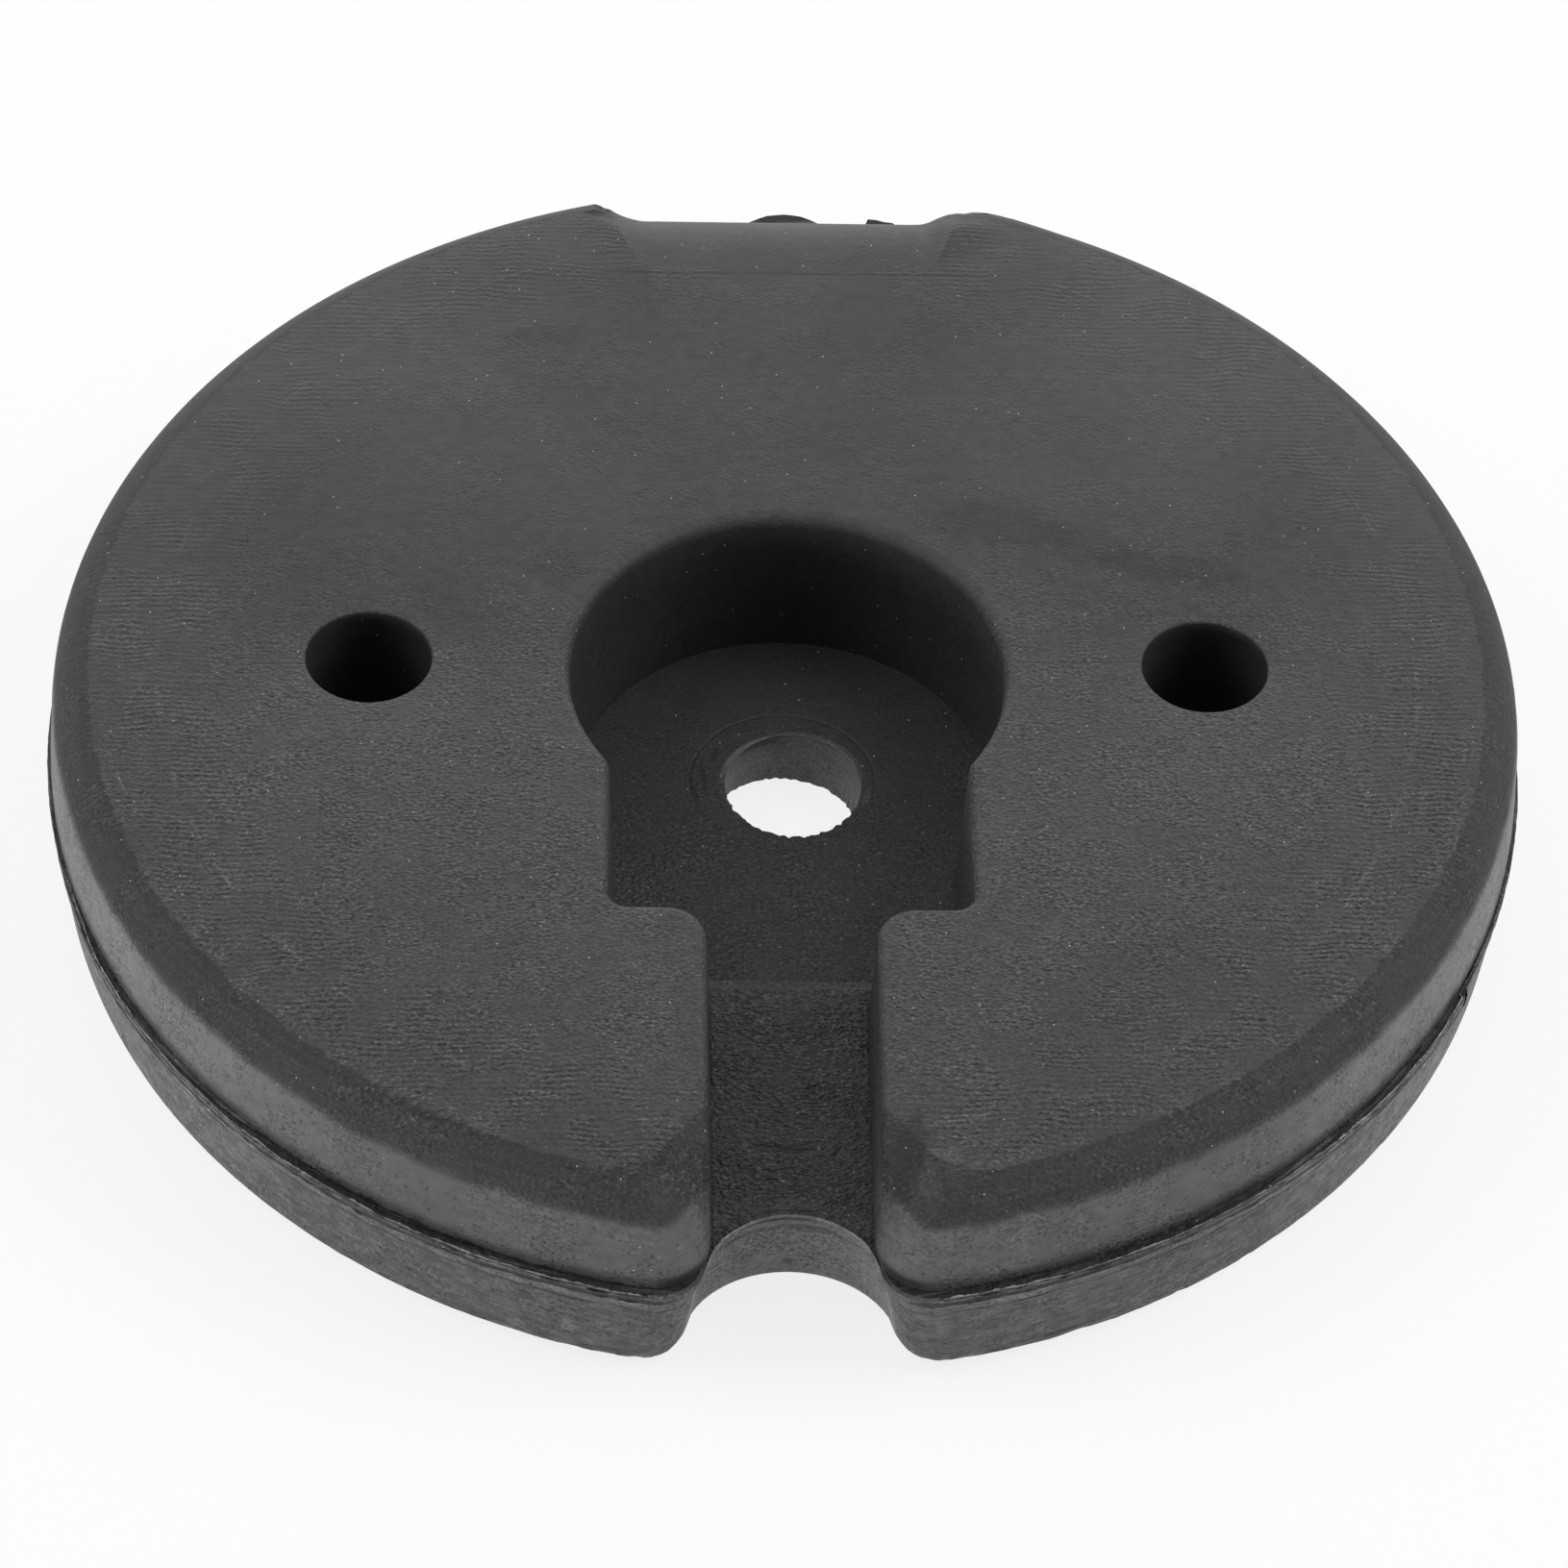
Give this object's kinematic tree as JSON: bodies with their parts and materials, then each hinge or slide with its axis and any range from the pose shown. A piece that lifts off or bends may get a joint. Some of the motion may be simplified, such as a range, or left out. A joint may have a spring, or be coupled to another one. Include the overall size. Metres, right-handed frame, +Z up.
{
  "type": "lamp base weight",
  "caption": "Round moulded rubber weight for a lamp base, with a pocket and pipe hole in the middle, a cord channel to the rim and side holes.",
  "frame": {"origin": "centre of the pipe hole in the flat underside", "axes": "+Z up along the pipe hole, out of the pocket; the cord channel runs towards -Y; the side holes lie on the X axis"},
  "size_m": [0.1156, 0.1147, 0.0189],
  "materials": {
    "weight_rubber": "matt dark grey moulded rubber"
  },
  "bodies": {
    "root": {"base_weight": "weight_rubber"}
  },
  "joints": []
}
